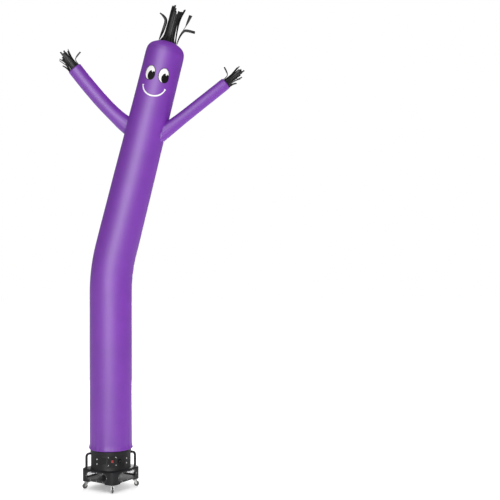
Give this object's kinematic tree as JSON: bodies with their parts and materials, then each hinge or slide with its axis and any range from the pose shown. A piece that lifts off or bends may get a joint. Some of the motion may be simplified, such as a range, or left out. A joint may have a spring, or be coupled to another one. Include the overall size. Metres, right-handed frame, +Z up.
{
  "type": "inflatable air dancer on its wheeled fan housing",
  "caption": "Tall inflatable tube dancer of thin cloth with raised arms, a smiling face and streamers, drawn over the outlet of a square fan housing on swivel casters.",
  "frame": {"origin": "on the drum's axis, in the housing's flat underside, 96 mm above the floor", "axes": "+Z up along the drum and the upright part of the tube, -Y towards the face and the switch, +X the way the head leans"},
  "size_m": [2.0518, 0.6134, 5.2918],
  "materials": {
    "purple_nylon": "satin ripstop nylon",
    "black_nylon": "matt nylon",
    "white_nylon": "matt nylon",
    "hook_tape": "matt hook tape",
    "black_plastic": "textured rotation-moulded polyethylene",
    "gloss_plastic": "smooth black nylon moulding",
    "black_steel": "black powder coat",
    "zinc": "bright zinc plate",
    "grey_wheel": "grey thermoplastic rubber",
    "red_rocker": "glossy red"
  },
  "bodies": {
    "housing": {"body_tube": "purple_nylon", "arm_left": "purple_nylon", "arm_right": "purple_nylon", "hair": "black_nylon", "streamers_left": "black_nylon", "streamers_right": "black_nylon", "eye_white_left": "white_nylon", "eye_white_right": "white_nylon", "pupil_left": "black_nylon", "pupil_right": "black_nylon", "mouth": "white_nylon", "housing": "black_plastic", "hook_band": "hook_tape", "outlet_guard": "black_steel", "grille_front_left": "black_steel", "grille_front_right": "black_steel", "grille_back_left": "black_steel", "grille_back_right": "black_steel", "handle_left": "black_plastic", "handle_right": "black_plastic", "switch_plate": "gloss_plastic", "switch_surround": "gloss_plastic", "power_inlet": "gloss_plastic", "rating_plate": "gloss_plastic", "drum_screw_left_low": "zinc", "drum_screw_left_high": "zinc", "drum_screw_right_low": "zinc", "drum_screw_right_high": "zinc", "caster_plate_front": "zinc", "caster_plate_left": "zinc", "caster_plate_back": "zinc", "caster_plate_right": "zinc"},
    "fork_right": {"caster_fork_right": "zinc"},
    "wheel_right": {"caster_wheel_right": "grey_wheel"},
    "fork_back": {"caster_fork_back": "zinc"},
    "wheel_back": {"caster_wheel_back": "grey_wheel"},
    "fork_left": {"caster_fork_left": "zinc"},
    "wheel_left": {"caster_wheel_left": "grey_wheel"},
    "brake_left": {"caster_brake_left": "black_plastic"},
    "fork_front": {"caster_fork_front": "zinc"},
    "wheel_front": {"caster_wheel_front": "grey_wheel"},
    "brake_front": {"caster_brake_front": "black_plastic"},
    "rocker": {"rocker": "red_rocker"}
  },
  "joints": [
    {"name": "swivel_right", "type": "hinge", "parent": "housing", "child": "fork_right", "pos_m": [0.26136, 0.01828, -0.0216], "axis": [0, 0, 1], "continuous": true},
    {"name": "roll_right", "type": "hinge", "parent": "fork_right", "child": "wheel_right", "pos_m": [0.27943, 0.0124, -0.06824], "axis": [0.309, 0.9511, 0], "continuous": true},
    {"name": "swivel_back", "type": "hinge", "parent": "housing", "child": "fork_back", "pos_m": [-0.01828, 0.26136, -0.0216], "axis": [0, 0, 1], "continuous": true},
    {"name": "roll_back", "type": "hinge", "parent": "fork_back", "child": "wheel_back", "pos_m": [-0.02834, 0.27748, -0.06824], "axis": [-0.848, -0.5299, 0], "continuous": true},
    {"name": "swivel_left", "type": "hinge", "parent": "housing", "child": "fork_left", "pos_m": [-0.26136, -0.01828, -0.0216], "axis": [0, 0, 1], "continuous": true},
    {"name": "roll_left", "type": "hinge", "parent": "fork_left", "child": "wheel_left", "pos_m": [-0.27798, -0.02749, -0.06824], "axis": [0.4848, -0.8746, 0], "continuous": true},
    {"name": "brake_pedal_left", "type": "hinge", "parent": "fork_left", "child": "brake_left", "pos_m": [-0.24999, -0.01197, -0.0301], "axis": [-0.4848, 0.8746, 0], "range_deg": [0, 12]},
    {"name": "swivel_front", "type": "hinge", "parent": "housing", "child": "fork_front", "pos_m": [0.01828, -0.26136, -0.0216], "axis": [0, 0, 1], "continuous": true},
    {"name": "roll_front", "type": "hinge", "parent": "fork_front", "child": "wheel_front", "pos_m": [0.01761, -0.28035, -0.06824], "axis": [0.9994, -0.0349, 0], "continuous": true},
    {"name": "brake_pedal_front", "type": "hinge", "parent": "fork_front", "child": "brake_front", "pos_m": [0.01873, -0.24837, -0.0301], "axis": [-0.9994, 0.0349, 0], "range_deg": [0, 12]},
    {"name": "rocker_tip", "type": "hinge", "parent": "housing", "child": "rocker", "pos_m": [0.01555, -0.22236, 0.229], "axis": [0.9976, 0.0698, 0], "range_deg": [0, 16]}
  ]
}
